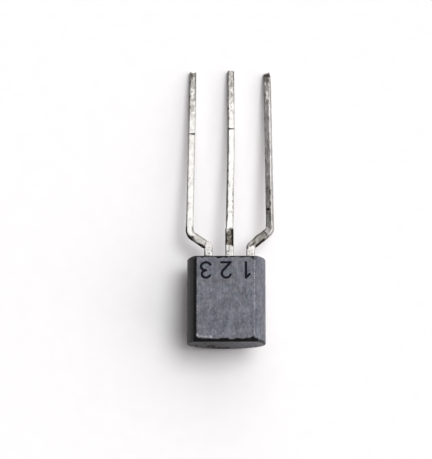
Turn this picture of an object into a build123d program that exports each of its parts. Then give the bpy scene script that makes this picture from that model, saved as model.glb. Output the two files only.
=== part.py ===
from build123d import *
import math
import os

os.makedirs("parts", exist_ok=True)

# Small moulded transistor with three formed leads, lying on its round back with its
# lead tips on the table. Millimetres.
#
# Local frame, in which every piece is drawn:
#   x across the leads, y from the moulding towards the lead tips, z towards the flat face.
#   y = 0 is the seating end of the moulding, z = 0 is the middle of the leads and the
#   centre line of the round back.
# Row frame, in which every piece is written: the same, turned about x until the back of
# the moulding and the lead tips both touch z = 0, with the origin under the middle.

# ---------------------------------------------------------------- driving dimensions
# moulding
body_radius = 2.335          # round back
flat_distance = 1.50         # lead plane to flat face
body_height = 5.14           # seating end to far end
bevel_across = 0.20          # bevel beside the flat face, measured across
bevel_down = 0.17            # the same, measured into the depth
bevel_end = 0.19             # bevel at the far end of the flat face, measured along
back_draft_deg = 2.0         # far end, back half only
seat_edge_radius = 0.06      # seating end, all round
far_edge_radius = 0.08       # far end, round part

# leads
lead_pitch = 1.27            # centre to centre where they leave the moulding
row_offset = 0.185           # the lead row sits this far off the moulding's centre line
lead_thickness = 0.40
stub_width = 0.51            # from the moulding to the end of the formed part
lead_width = 0.45            # the rest
emitter_run = ((0.825, 0.24), (-2.195, 1.585, 0.48), (-2.03, 11.690))
base_run = ((0.217, 2.00), (0.272, 6.75), (0.271, 11.732))
base_step_y = (1.86, 2.00)   # where the stub narrows
collector_run = ((0.816, 0.24), (2.630, 1.790, 0.42), (2.486, 11.630))
emitter_notch = 0.05         # shear mark in the tip
collector_tip_slant = 0.105  # the tip is cut at an angle
collector_pinch_along = 0.24 # and pinched to a wedge
collector_pinch_down = 0.26

# inside the moulding
pad_low_x = -0.45                        # pad that carries the chip, from here to its lead
pad_low_y, pad_high_y = -3.10, -1.72
base_inner_y = -1.30
base_pad_width, base_pad_high_y = 0.78, -0.78
emitter_inner_y = -1.95
emitter_pad_width, emitter_pad_high_y = 0.66, -1.20
lock_depth, lock_length, lock_y = 0.08, 0.26, -0.40
attach_thickness = 0.02
die_side = 0.40
die_thickness = 0.22
die_x, die_y = 0.24, -2.38
attach_margin = 0.05
wire_diameter = 0.03
ball_radius, ball_height = 0.042, 0.022
stitch_long, stitch_wide, stitch_high = 0.10, 0.075, 0.020
loop_rise = 0.17

# ---------------------------------------------------------------- helpers


def rounded_wire(points, radii):
    """Closed wire through the points, each corner turned with its own radius."""
    n = len(points)
    starts, arcs, ends = [], [], []
    for i in range(n):
        (px, py), (cx, cy), (nx, ny) = points[i - 1], points[i], points[(i + 1) % n]
        r = radii[i]
        ax, ay = px - cx, py - cy
        bx, by = nx - cx, ny - cy
        la, lb = math.hypot(ax, ay), math.hypot(bx, by)
        ax, ay, bx, by = ax / la, ay / la, bx / lb, by / lb
        if r <= 0:
            starts.append((cx, cy))
            arcs.append(None)
            ends.append((cx, cy))
            continue
        half = math.acos(max(-1.0, min(1.0, ax * bx + ay * by))) / 2
        t = r / math.tan(half)
        mx, my = ax + bx, ay + by
        lm = math.hypot(mx, my)
        mx, my = mx / lm, my / lm
        reach = r / math.sin(half)
        starts.append((cx + ax * t, cy + ay * t))
        ends.append((cx + bx * t, cy + by * t))
        arcs.append((cx + mx * (reach - r), cy + my * (reach - r)))
    edges = []
    for i in range(n):
        if arcs[i] is not None:
            edges.append(ThreePointArc(starts[i], arcs[i], ends[i]))
        a, b = ends[i], starts[(i + 1) % n]
        if math.dist(a, b) > 1e-7:
            edges.append(Line(a, b))
    return Wire(edges)


def plate(points, radii, low_z, high_z):
    face = Face(rounded_wire(points, radii))
    if face.normal_at().Z < 0:
        face = -face
    return extrude(Pos(0, 0, low_z) * face, amount=high_z - low_z, dir=(0, 0, 1))


def block(x0, x1, y0, y1, z0, z1):
    return Pos((x0 + x1) / 2, (y0 + y1) / 2, (z0 + z1) / 2) * Box(
        x1 - x0, y1 - y0, z1 - z0
    )


def offset_sides(run, widths):
    """Left and right edges of a strip along a centre line, mitred at the corners."""
    sides = []
    for sign in (-1, 1):
        lines = []
        for (ax, ay), (bx, by), w in zip(run, run[1:], widths):
            l = math.hypot(bx - ax, by - ay)
            nx, ny = (by - ay) / l * sign * w / 2, -(bx - ax) / l * sign * w / 2
            lines.append(((ax + nx, ay + ny), (bx + nx, by + ny)))
        side = [lines[0][0]]
        for (p, q), (r, s) in zip(lines, lines[1:]):
            d1 = (q[0] - p[0], q[1] - p[1])
            d2 = (s[0] - r[0], s[1] - r[1])
            det = d1[0] * d2[1] - d1[1] * d2[0]
            t = ((r[0] - p[0]) * d2[1] - (r[1] - p[1]) * d2[0]) / det
            side.append((p[0] + d1[0] * t, p[1] + d1[1] * t))
        side.append(lines[-1][1])
        sides.append(side)
    return sides


half_t = lead_thickness / 2
x_emitter = row_offset - lead_pitch
x_base = row_offset
x_collector = row_offset + lead_pitch

# ---------------------------------------------------------------- moulding, solid
z_bevel = flat_distance - bevel_down
x_bevel = math.sqrt(body_radius**2 - z_bevel**2)
x_flat = x_bevel - bevel_across
section = Wire(
    [
        Line((x_flat, flat_distance), (-x_flat, flat_distance)),
        Line((-x_flat, flat_distance), (-x_bevel, z_bevel)),
        ThreePointArc(
            (-x_bevel, z_bevel),
            (
                -body_radius * math.cos(math.radians(17)),
                body_radius * math.sin(math.radians(17)),
            ),
            (-body_radius, 0),
        ),
        ThreePointArc((-body_radius, 0), (0, -body_radius), (body_radius, 0)),
        ThreePointArc(
            (body_radius, 0),
            (
                body_radius * math.cos(math.radians(17)),
                body_radius * math.sin(math.radians(17)),
            ),
            (x_bevel, z_bevel),
        ),
        Line((x_bevel, z_bevel), (x_flat, flat_distance)),
    ]
)
# the section is drawn flat, then stood up so that its y becomes z and it runs along -y
moulding = extrude(Face(section), amount=body_height, dir=(0, 0, 1))
moulding = Rotation(90, 0, 0) * moulding
# far end: the back half leans in by the mould's draft
lean = math.tan(math.radians(back_draft_deg))
cutter = extrude(
    Face(
        Wire.make_polygon(
            [
                (0, -body_height, 0),
                (0, -body_height + 3 * lean, -3),
                (0, -body_height - 1, -3),
                (0, -body_height - 1, 0),
            ],
            close=True,
        )
    ),
    amount=6,
    dir=(1, 0, 0),
)
moulding = moulding - Pos(-3, 0, 0) * cutter
# far end of the flat face: bevel
bevel_tool = extrude(
    Face(
        Wire.make_polygon(
            [
                (0, -body_height + bevel_end, flat_distance),
                (0, -body_height, flat_distance - bevel_down),
                (0, -body_height - 1, flat_distance - bevel_down),
                (0, -body_height - 1, flat_distance + 1),
                (0, -body_height + bevel_end, flat_distance + 1),
            ],
            close=True,
        )
    ),
    amount=6,
    dir=(1, 0, 0),
)
moulding = moulding - Pos(-3, 0, 0) * bevel_tool
far_edges = (
    moulding.edges()
    .filter_by(lambda e: e.geom_type != GeomType.LINE)
    .filter_by(lambda e: e.center().Y < -body_height + 0.3)
)
moulding = fillet(far_edges, far_edge_radius)
seat_face = moulding.faces().sort_by(Axis.Y)[-1]
moulding = fillet(seat_face.edges(), seat_edge_radius)

# ---------------------------------------------------------------- leads
(e_y, e_r), (e_x2, e_y2, e_r2), e_tip = emitter_run
e_line = [(x_emitter, emitter_inner_y), (x_emitter, e_y), (e_x2, e_y2), e_tip]
left, right = offset_sides(e_line, [stub_width, stub_width, lead_width])
# the tip is notched
tl, tr = left[-1], right[-1]
e_points = left + [((tl[0] + tr[0]) / 2 - 0.01, tl[1] - emitter_notch)] + right[::-1]
e_radii = [0.0, 0.03, e_r2 + lead_width / 2, 0.0, 0.0, 0.0]
e_radii += [e_r2 - lead_width / 2, e_r + stub_width / 2, 0.0]
emitter_lead = plate(e_points, e_radii, -half_t, half_t)
emitter_lead = emitter_lead + block(
    x_emitter - emitter_pad_width / 2,
    x_emitter + emitter_pad_width / 2,
    emitter_inner_y,
    emitter_pad_high_y,
    -half_t,
    half_t,
)

b_points = [
    (x_base - stub_width / 2, base_inner_y),
    (x_base - stub_width / 2, base_step_y[0]),
    (base_run[0][0] - lead_width / 2, base_step_y[1]),
    (base_run[1][0] - lead_width / 2, base_run[1][1]),
    (base_run[2][0] - lead_width / 2, base_run[2][1]),
    (base_run[2][0] + lead_width / 2, base_run[2][1]),
    (base_run[1][0] + lead_width / 2, base_run[1][1]),
    (base_run[0][0] + lead_width / 2, base_step_y[1]),
    (x_base + stub_width / 2, base_step_y[0]),
    (x_base + stub_width / 2, base_inner_y),
]
b_radii = [0.0, 0.10, 0.10, 0.0, 0.0, 0.0, 0.0, 0.0, 0.0, 0.0]
base_lead = plate(b_points, b_radii, -half_t, half_t)
base_lead = base_lead + block(
    x_base - base_pad_width / 2,
    x_base + base_pad_width / 2,
    base_inner_y,
    base_pad_high_y,
    -half_t,
    half_t,
)

(c_y, c_r), (c_x2, c_y2, c_r2), c_tip = collector_run
c_line = [(x_collector, pad_low_y), (x_collector, c_y), (c_x2, c_y2), c_tip]
left, right = offset_sides(c_line, [stub_width, stub_width, lead_width])
left[-1] = (left[-1][0], left[-1][1] - collector_tip_slant / 2)
right[-1] = (right[-1][0], right[-1][1] + collector_tip_slant / 2)
c_points = left + right[::-1]
c_radii = [0.0, c_r + stub_width / 2, c_r2 - lead_width / 2, 0.0]
c_radii += [0.0, c_r2 + lead_width / 2, 0.03, 0.0]
collector_lead = plate(c_points, c_radii, -half_t, half_t)
# the tip is pinched from above
pinch = extrude(
    Face(
        Wire.make_polygon(
            [
                (0, c_tip[1] - collector_pinch_along, half_t),
                (0, c_tip[1] + 0.06, half_t - collector_pinch_down * 1.25),
                (0, c_tip[1] + 1, half_t - collector_pinch_down * 1.25),
                (0, c_tip[1] + 1, half_t + 1),
                (0, c_tip[1] - collector_pinch_along, half_t + 1),
            ],
            close=True,
        )
    ),
    amount=2,
    dir=(1, 0, 0),
)
collector_lead = collector_lead - Pos(c_tip[0] - 1, 0, 0) * pinch
pad = block(
    pad_low_x, x_collector + stub_width / 2, pad_low_y, pad_high_y, -half_t, half_t
)
collector_lead = collector_lead + pad

# notches that lock the leads in the moulding
notches = {}
for name, x in (
    ("collector", x_collector),
    ("base", x_base),
    ("emitter", x_emitter),
):
    cuts = []
    for sign in (-1, 1):
        edge = x + sign * stub_width / 2
        cuts.append(
            block(
                min(edge, edge - sign * lock_depth) - (0.2 if sign < 0 else 0),
                max(edge, edge - sign * lock_depth) + (0.2 if sign > 0 else 0),
                lock_y - lock_length / 2,
                lock_y + lock_length / 2,
                -1,
                1,
            )
        )
    notches[name] = cuts[0] + cuts[1]
collector_lead = collector_lead - notches["collector"]
base_lead = base_lead - notches["base"]
emitter_lead = emitter_lead - notches["emitter"]

# ---------------------------------------------------------------- chip and wires
side = die_side / 2 + attach_margin
die_attach = block(
    die_x - side,
    die_x + side,
    die_y - side,
    die_y + side,
    half_t,
    half_t + attach_thickness,
)
die_low = half_t + attach_thickness
die_top = die_low + die_thickness
silicon_die = block(
    die_x - die_side / 2,
    die_x + die_side / 2,
    die_y - die_side / 2,
    die_y + die_side / 2,
    die_low,
    die_top,
)


def bond_wire(start, end):
    """Ball on the chip, looped wire, stitch on the lead: one piece."""
    (sx, sy), (ex, ey) = start, end
    run = math.hypot(ex - sx, ey - sy)
    ux, uy = (ex - sx) / run, (ey - sy) / run
    r = wire_diameter / 2

    def at(along, z):
        return (sx + ux * along, sy + uy * along, z)

    land = half_t + r + 0.002
    path = FilletPolyline(
        at(0, die_top + ball_height * 0.5),
        at(0, die_top + ball_height + loop_rise),
        at(run * 0.52, die_top + ball_height + loop_rise * 0.80),
        at(run, land),
        radius=0.09,
    )
    section = Plane(origin=path @ 0, z_dir=path % 0) * Circle(r)
    wire = sweep(section, path=path)
    ball = Pos(sx, sy, die_top + ball_height / 2) * Cylinder(ball_radius, ball_height)
    angle = math.degrees(math.atan2(uy, ux))
    stitch = (
        Pos(ex - ux * 0.02, ey - uy * 0.02, half_t + stitch_high / 2)
        * Rotation(0, 0, angle)
        * Box(stitch_long, stitch_wide, stitch_high)
    )
    return ball + wire + stitch


base_bond_wire = bond_wire(
    (die_x + 0.07, die_y + 0.09), (x_base + 0.02, base_inner_y + 0.22)
)
emitter_bond_wire = bond_wire(
    (die_x - 0.08, die_y - 0.05), (x_emitter + 0.12, emitter_inner_y + 0.30)
)

# ---------------------------------------------------------------- moulding, around it all
for inner in (
    collector_lead,
    base_lead,
    emitter_lead,
    silicon_die,
    die_attach,
    base_bond_wire,
    emitter_bond_wire,
):
    moulding = moulding - inner

# ---------------------------------------------------------------- lay it down
tip_y = base_run[2][1]


def height_gap(angle):
    """Back of the moulding above the lead tips when turned by this angle."""
    s, c = math.sin(angle), math.cos(angle)
    tip = -tip_y * s - half_t * c
    back = seat_edge_radius * s - (body_radius - seat_edge_radius) * c - seat_edge_radius
    return back - tip


low, high = math.radians(5), math.radians(20)
for _ in range(60):
    middle = (low + high) / 2
    if height_gap(middle) < 0:
        low = middle
    else:
        high = middle
tilt = (low + high) / 2
table = -tip_y * math.sin(tilt) - half_t * math.cos(tilt)

nodes = {
    "moulded_body": moulding,
    "collector_lead": collector_lead,
    "base_lead": base_lead,
    "emitter_lead": emitter_lead,
    "silicon_die": silicon_die,
    "die_attach": die_attach,
    "base_bond_wire": base_bond_wire,
    "emitter_bond_wire": emitter_bond_wire,
}
turned = {n: Rotation(-math.degrees(tilt), 0, 0) * s for n, s in nodes.items()}
boxes = [
    turned[n].bounding_box()
    for n in ("moulded_body", "collector_lead", "base_lead", "emitter_lead")
]
shift_x = -(min(b.min.X for b in boxes) + max(b.max.X for b in boxes)) / 2
shift_y = -(min(b.min.Y for b in boxes) + max(b.max.Y for b in boxes)) / 2
shift_z = -table

print("tilt", math.degrees(tilt), "shift", shift_x, shift_y, shift_z)
print("lowest", [round(b.min.Z + shift_z, 5) for b in boxes])
for n, s in turned.items():
    placed = Pos(shift_x, shift_y, shift_z) * s
    solids = placed.solids()
    print(n, "solids", len(solids), "volume", round(sum(v.volume for v in solids), 5))
    shape = solids[0] if len(solids) == 1 else Compound(solids)
    export_step(shape, f"parts/{n}.step")
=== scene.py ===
import math

import bmesh
import bpy
import numpy as np
from mathutils import Matrix, Vector


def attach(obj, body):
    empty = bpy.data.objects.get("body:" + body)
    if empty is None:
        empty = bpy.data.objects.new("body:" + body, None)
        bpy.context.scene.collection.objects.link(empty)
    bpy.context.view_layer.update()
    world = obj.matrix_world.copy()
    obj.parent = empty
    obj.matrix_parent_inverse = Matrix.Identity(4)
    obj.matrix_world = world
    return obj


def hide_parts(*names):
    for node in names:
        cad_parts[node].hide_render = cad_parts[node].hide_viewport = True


# Small moulded transistor lying on its round back with its three lead tips on the table.
# Shapes are drawn in the part's own millimetres: x across the leads, y from the moulding
# towards the lead tips, z towards the flat face; y = 0 is the seating end, z = 0 the middle
# of the leads. place() lays them down in the shared frame, in metres.

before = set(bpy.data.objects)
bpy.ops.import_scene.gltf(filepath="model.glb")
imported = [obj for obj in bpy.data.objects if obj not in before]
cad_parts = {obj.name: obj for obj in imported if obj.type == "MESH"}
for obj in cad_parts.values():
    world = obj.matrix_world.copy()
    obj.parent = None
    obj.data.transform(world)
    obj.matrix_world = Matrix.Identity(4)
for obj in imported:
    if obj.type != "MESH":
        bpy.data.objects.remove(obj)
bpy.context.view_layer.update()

MM = 0.001
TILT = math.radians(10.26710379171041)
SHIFT = (-0.21812567127036941, -3.098210390549608, 2.2878774036320557)
COS, SIN = math.cos(TILT), math.sin(TILT)


def place(p):
    p = np.asarray(p, float)
    x, y, z = p[:, 0], p[:, 1], p[:, 2]
    return (
        np.stack(
            [x + SHIFT[0], y * COS + z * SIN + SHIFT[1], -y * SIN + z * COS + SHIFT[2]],
            1,
        )
        * MM
    )


# ---------------------------------------------------------------- noise


def hash3(ix, iy, iz, seed):
    h = (
        ix.astype(np.int64) * 374761393
        + iy.astype(np.int64) * 668265263
        + iz.astype(np.int64) * 2147483647
        + seed * 1274126177
    )
    h = (h ^ (h >> 13)) & 0xFFFFFFFF
    h = (h * 1274126177) & 0xFFFFFFFF
    h = (h ^ (h >> 16)) & 0xFFFFFFFF
    h = (h * 2246822519) & 0xFFFFFFFF
    h = h ^ (h >> 15)
    return (h & 0xFFFFFF).astype(float) / float(0xFFFFFF)


def value_noise(p, seed=0):
    """Smooth noise from -1 to 1 at points p, with cells of size one."""
    f = np.floor(p)
    i = f.astype(np.int64)
    t = p - f
    t = t * t * t * (t * (t * 6 - 15) + 10)
    out = 0
    for dx in (0, 1):
        wx = t[:, 0] if dx else 1 - t[:, 0]
        for dy in (0, 1):
            wy = t[:, 1] if dy else 1 - t[:, 1]
            for dz in (0, 1):
                wz = t[:, 2] if dz else 1 - t[:, 2]
                out = out + wx * wy * wz * hash3(
                    i[:, 0] + dx, i[:, 1] + dy, i[:, 2] + dz, seed
                )
    return out * 2 - 1


def fbm(x, y=None, z=None, scale=1.0, octaves=4, seed=0, gain=0.5):
    x = np.asarray(x, float)
    y = np.zeros_like(x) if y is None else np.asarray(y, float) + 0 * x
    z = np.zeros_like(x) if z is None else np.asarray(z, float) + 0 * x
    p = np.stack([x, y, z], 1) * scale
    out, a, total = 0, 1.0, 0.0
    for k in range(octaves):
        out = out + a * value_noise(p + 17.3 * k, seed + k * 31)
        total += a
        a *= gain
        p = p * 2.03
    return out / total


def smoothstep(a, b, x):
    t = np.clip((np.asarray(x, float) - a) / (b - a), 0, 1)
    return t * t * (3 - 2 * t)


def bump(x, centre, width):
    return np.exp(-(((np.asarray(x, float) - centre) / width) ** 2))


# ---------------------------------------------------------------- mesh helper


def make_mesh(name, points, faces, values=None):
    """Mesh object from local points in mm, faces with outward winding and point values."""
    mesh = bpy.data.meshes.new(name)
    mesh.from_pydata(place(points).tolist(), [], faces)
    mesh.validate()
    for key, v in (values or {}).items():
        a = mesh.attributes.new(key, "FLOAT", "POINT")
        a.data.foreach_set("value", np.asarray(v, np.float32))
    mesh.polygons.foreach_set("use_smooth", [True] * len(mesh.polygons))
    mesh.update()
    o = bpy.data.objects.new(name, mesh)
    bpy.context.scene.collection.objects.link(o)
    return o


# from the shared frame in metres back to the part's own millimetres
TO_LOCAL = (
    Matrix(((1, 0, 0, 0), (0, COS, -SIN, 0), (0, SIN, COS, 0), (0, 0, 0, 1)))
    @ Matrix.Translation(Vector(SHIFT) * -1)
    @ Matrix.Scale(1000.0, 4)
)


def inside_of(node, cut, keep):
    """What lies deeper than cut in a CAD node: islands that keep() accepts, closed again."""
    bm = bmesh.new()
    bm.from_mesh(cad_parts[node].data)
    bm.transform(TO_LOCAL)
    bmesh.ops.remove_doubles(bm, verts=bm.verts[:], dist=1e-5)
    bmesh.ops.bisect_plane(
        bm,
        geom=bm.verts[:] + bm.edges[:] + bm.faces[:],
        dist=1e-6,
        plane_co=(0, cut, 0),
        plane_no=(0, 1, 0),
        clear_outer=True,
    )
    seen, drop = set(), []
    for start in bm.verts:
        if start in seen:
            continue
        island, todo = [], [start]
        seen.add(start)
        while todo:
            v = todo.pop()
            island.append(v)
            for edge in v.link_edges:
                w = edge.other_vert(v)
                if w not in seen:
                    seen.add(w)
                    todo.append(w)
        if not keep(np.array([v.co[:] for v in island])):
            drop += island
    bmesh.ops.delete(bm, geom=drop, context="VERTS")
    rims = [edge for edge in bm.edges if edge.is_boundary]
    if rims:
        bmesh.ops.holes_fill(bm, edges=rims)
    bmesh.ops.recalc_face_normals(bm, faces=bm.faces[:])
    bm.verts.index_update()
    points = np.array([v.co[:] for v in bm.verts])
    faces = [[v.index for v in f.verts] for f in bm.faces]
    open_edges = sum(1 for edge in bm.edges if len(edge.link_faces) != 2)
    bm.free()
    print("inside of", node, len(points), "points", len(faces), "faces", open_edges, "open")
    return points, faces


# ---------------------------------------------------------------- moulding
R = 2.335
FLAT = 1.50
LENGTH = 5.14
BEVEL_ACROSS, BEVEL_DOWN, BEVEL_END = 0.20, 0.17, 0.19
Z_B = FLAT - BEVEL_DOWN
X_B = math.sqrt(R * R - Z_B * Z_B)
X_F = X_B - BEVEL_ACROSS
PHI_B = math.asin(Z_B / R)
SEAT_R, FAR_R, FAR_R_FRONT = 0.06, 0.08, 0.03
DRAFT = math.tan(math.radians(2.0))
STEP = 0.010  # the two halves of the mould do not quite meet

# strokes of the numerals, in a cell 0.6 wide and 1 high, upright
ARC = lambda cx, cy, rx, ry, a0, a1, n: [
    (
        cx + rx * math.cos(math.radians(a0 + (a1 - a0) * k / n)),
        cy + ry * math.sin(math.radians(a0 + (a1 - a0) * k / n)),
    )
    for k in range(n + 1)
]
NUMERALS = {
    "1": [[(0.10, 0.77), (0.33, 1.0), (0.33, 0.0)]],
    "2": [ARC(0.30, 0.72, 0.29, 0.28, 165, -35, 14) + [(0.02, 0.0), (0.62, 0.0)]],
    "3": [
        ARC(0.28, 0.76, 0.27, 0.24, 155, -90, 14)
        + ARC(0.28, 0.26, 0.32, 0.26, 90, -155, 16)
    ],
}
NUMERAL_HEIGHT = 0.92
NUMERAL_STROKE = 0.140
# where each starts: its lower corner by the leads, beside its own lead
NUMERAL_AT = {"1": 1.20, "2": 0.0, "3": -1.22}
NUMERAL_Y = -0.42


def stroke_distance(x, y):
    """Distance in mm from points of the flat to the nearest numeral stroke."""
    best = np.full(len(x), 9.0)
    for digit, strokes in NUMERALS.items():
        for line in strokes:
            pts = []
            for u, v in line:
                # upright with the leads pointing down
                pts.append(
                    (
                        NUMERAL_AT[digit] - (u - 0.31) * NUMERAL_HEIGHT,
                        NUMERAL_Y - v * NUMERAL_HEIGHT,
                    )
                )
            for (ax, ay), (bx, by) in zip(pts, pts[1:]):
                dx, dy = bx - ax, by - ay
                l2 = dx * dx + dy * dy
                if l2 < 1e-9:
                    continue
                t = np.clip(((x - ax) * dx + (y - ay) * dy) / l2, 0, 1)
                d = np.hypot(x - ax - t * dx, y - ay - t * dy)
                best = np.minimum(best, d)
    return best


def smin(a, b, k):
    h = np.clip(0.5 + 0.5 * (b - a) / k, 0, 1)
    return b * (1 - h) + a * h - k * h * (1 - h)


def clustered(total, first, ratio, largest):
    """Positions from 0 to total with small steps at the start that grow to largest."""
    out, step = [0.0], first
    while out[-1] + step < total - step * 0.5:
        out.append(out[-1] + step)
        step = min(step * ratio, largest)
    out.append(total)
    return out


def front_outline():
    """Upper half of the section, from (-R, 0) over the flat to (R, 0)."""
    arc = [s / R for s in clustered(R * PHI_B, 0.012, 1.45, 0.075)]
    left = [(-R * math.cos(a), R * math.sin(a)) for a in arc]
    n_bevel, n_flat = 7, 128
    bevel = [
        (-X_B + BEVEL_ACROSS * k / n_bevel, Z_B + BEVEL_DOWN * k / n_bevel)
        for k in range(1, n_bevel + 1)
    ]
    flat = [(-X_F + 2 * X_F * k / n_flat, FLAT) for k in range(1, n_flat)]
    half = left + bevel
    pts = half + flat + [(-x, z) for x, z in reversed(half)]
    return np.array(pts), len(left)


def back_outline(count):
    """Lower half, from (-R, 0) under to (R, 0), with count segments."""
    half = count // 2
    # small steps beside the parting line, then even ones
    raw = np.array([min(0.012 * 1.45**k, 0.0435) for k in range(half)])
    raw = raw / raw.sum() * (R * math.pi / 2)
    s = np.concatenate([[0], np.cumsum(raw)])
    a = s / R
    left = [(-R * math.cos(v), -R * math.sin(v)) for v in a]
    right = [(-x, z) for x, z in reversed(left[:-1])]
    return np.array(left + right)


# where the flat gives way to the worn far edge: scallops and chips, x then y
FAR_EDGE = [
    (-2.0, -4.60), (-1.80, -4.69), (-1.69, -4.86), (-1.60, -4.91), (-1.50, -4.905),
    (-1.36, -4.945), (-1.06, -4.945), (-0.71, -4.97), (-0.42, -4.97), (-0.31, -4.92),
    (-0.17, -4.92), (0.12, -4.915), (0.19, -4.985), (0.33, -5.01), (0.47, -4.99),
    (0.60, -4.92), (0.83, -4.93), (0.94, -4.965), (1.05, -4.95), (1.18, -4.91),
    (1.40, -4.91), (1.50, -4.84), (1.62, -4.80), (1.74, -4.84), (1.83, -4.78), (2.0, -4.70),
]
# and the same for the seating edge
SEAT_EDGE = [
    (-2.0, -0.10), (-1.72, -0.11), (-1.50, -0.115), (-1.42, -0.165), (-1.33, -0.115),
    (-0.95, -0.095), (-0.60, -0.11), (-0.52, -0.20), (-0.30, -0.185), (-0.20, -0.125),
    (-0.05, -0.15), (0.10, -0.15), (0.165, -0.055), (0.25, -0.14), (0.45, -0.115),
    (0.68, -0.08), (0.85, -0.14), (1.0, -0.145), (1.12, -0.11), (1.45, -0.105),
    (1.55, -0.23), (1.64, -0.22), (1.72, -0.30), (1.82, -0.25), (2.0, -0.15),
]


def end_edge(x):
    """Where the flat face ends and the far bevel starts."""
    y = np.interp(x, *zip(*FAR_EDGE))
    y = y + 0.008 * fbm(x, scale=7.0, seed=5) + 0.007 * fbm(x, scale=22.0, seed=9)
    return y


def seat_edge(x):
    """Where the flat face ends at the leads' side."""
    y = np.interp(x, *zip(*SEAT_EDGE))
    y = y + 0.012 * fbm(x, scale=9.0, seed=6) + 0.010 * fbm(x, scale=25.0, seed=7)
    return np.minimum(y, -0.02)


def build_moulding():
    front, n_left = front_outline()
    nf = len(front) - 1
    if nf % 2:
        raise ValueError("the front outline needs an even count")
    back = back_outline(nf)
    # one closed loop: front left to right, then back right to left
    loop = np.concatenate([front[:-1], back[::-1][:-1]])
    n = len(loop)
    is_front = np.zeros(n, bool)
    is_front[: nf + 1] = True
    # the lower half of the mould is a little smaller
    lower = loop[:, 1] < -1e-9
    radius_back = np.where(lower, (R - STEP) / R, 1.0)
    loop = loop * radius_back[:, None]
    nxt, prv = np.roll(loop, -1, 0), np.roll(loop, 1, 0)
    tangent = nxt - prv
    normal = np.stack([-tangent[:, 1], tangent[:, 0]], 1)
    normal /= np.linalg.norm(normal, axis=1)[:, None]
    # at the parting line the normal is straight out
    normal[0], normal[nf] = (-1, 0), (1, 0)
    far_r = np.where(loop[:, 1] > Z_B - 1e-6, FAR_R_FRONT, FAR_R)
    for _ in range(3):
        far_r = (far_r + np.roll(far_r, 1) + np.roll(far_r, -1)) / 3
    length = LENGTH - np.clip(-loop[:, 1], 0, None) * DRAFT

    rows = []  # (y, inset) of each ring, seat to far end
    quarter = [k / 4 for k in range(4)]
    for k in quarter:
        a = k * math.pi / 2
        rows.append((-SEAT_R * (1 - math.sin(a)), SEAT_R * (1 - math.cos(a))))
    n_main = 188
    ys, insets = [], []
    for y, inset in rows:
        ys.append(np.full(n, y))
        insets.append(np.full(n, inset))
    for k in range(n_main + 1):
        t = k / n_main
        ys.append(-SEAT_R - t * (length - SEAT_R - far_r))
        insets.append(np.zeros(n))
    for k in (1, 2, 3, 4):
        a = k / 4 * math.pi / 2
        ys.append(-length + far_r * (1 - math.sin(a)))
        insets.append(far_r * (1 - math.cos(a)))
    # first ring is the seating face's border: inset full, y = 0
    ys = np.array(ys)
    insets = np.array(insets)
    insets[0] = SEAT_R
    ys[0] = 0.0
    for j in range(1, 4):
        a = j / 4 * math.pi / 2
        ys[j] = -SEAT_R * (1 - math.cos(a))
        insets[j] = SEAT_R * (1 - math.sin(a))
    m = len(ys)
    P = np.zeros((m, n, 3))
    P[:, :, 0] = loop[None, :, 0] - normal[None, :, 0] * insets
    P[:, :, 2] = loop[None, :, 1] - normal[None, :, 1] * insets
    P[:, :, 1] = ys

    # front face as a height field: flat, side bevels and far bevel meet with worn edges
    sel = np.zeros(n, bool)
    sel[n_left - 1 : nf - n_left + 2] = True
    x, y = P[:, sel, 0].ravel(), P[:, sel, 1].ravel()
    z0 = P[:, sel, 2].ravel()
    drop = (FLAT - z0) * 0
    ring_inset = np.repeat(insets[:, sel].ravel()[None], 1, 0)[0]
    wob = 0.006 * fbm(y, 3 * np.sign(x), scale=3.0, seed=3) + 0.005 * fbm(
        y, 3 * np.sign(x), scale=14.0, seed=4
    )
    side = FLAT - (np.abs(x) - X_F - wob) * (BEVEL_DOWN / BEVEL_ACROSS)
    far_line = end_edge(x)
    end = FLAT - (far_line - y) * (BEVEL_DOWN / (far_line + LENGTH))
    seat_line = seat_edge(x)
    seat = np.maximum(FLAT - (y - seat_line) * 1.5, FLAT - 0.13)
    ripple = 0.004 * fbm(x, y, scale=1.1, octaves=3, seed=11) + 0.0014 * fbm(
        x * 1.8, y * 0.7, scale=7, octaves=3, seed=12
    )
    flat = np.full(len(x), FLAT) + ripple - 0.002
    z = smin(flat, side, 0.016)
    z = smin(z, end, 0.014)
    z = smin(z, seat, 0.014)
    z = np.maximum(z, Z_B - 0.004)
    # chips along the edges
    d_edge = np.minimum(
        np.minimum(np.abs(np.abs(x) - X_F), np.abs(y - far_line)),
        np.abs(y - seat_line),
    )
    chip = fbm(x, y, scale=7.0, octaves=3, seed=21)
    chips = smoothstep(0.22, 0.5, chip) * smoothstep(0.06, 0.0, d_edge)
    chips = chips * smoothstep(-0.05, 0.0, y - far_line) * smoothstep(0.05, 0.0, y - seat_line)
    z = z - 0.022 * chips
    # lip pushed up and scuffed at the lower left corner, and a short one on the right
    lip = smoothstep(-1.76, -1.68, x) * smoothstep(-0.80, -0.92, x) * bump(
        y, far_line + 0.075, 0.055
    )
    lip = lip * (0.55 + 0.45 * fbm(x, y, scale=6.0, octaves=2, seed=23))
    lip = lip + 0.9 * np.exp(-(((x + 0.90) / 0.07) ** 2) - ((y + 4.87) / 0.05) ** 2)
    lip = lip + 0.7 * np.exp(-(((x + 1.68) / 0.05) ** 2) - ((y + 4.74) / 0.10) ** 2)
    lip = lip + 0.25 * np.exp(-(((x - 1.68) / 0.03) ** 2) - ((y + 4.60) / 0.12) ** 2)
    lip = np.clip(lip, 0, 1)
    z = z + 0.006 * lip
    # numerals, cut by the marker
    stroke = stroke_distance(x, y) - NUMERAL_STROKE / 2
    stroke = stroke + 0.010 * fbm(x, y, scale=16, octaves=2, seed=31)
    z = z - 0.032 * smoothstep(0.012, -0.028, stroke)
    rim = ring_inset > 0
    keep = z0.copy()
    keep[~rim] = z[~rim]
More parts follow.
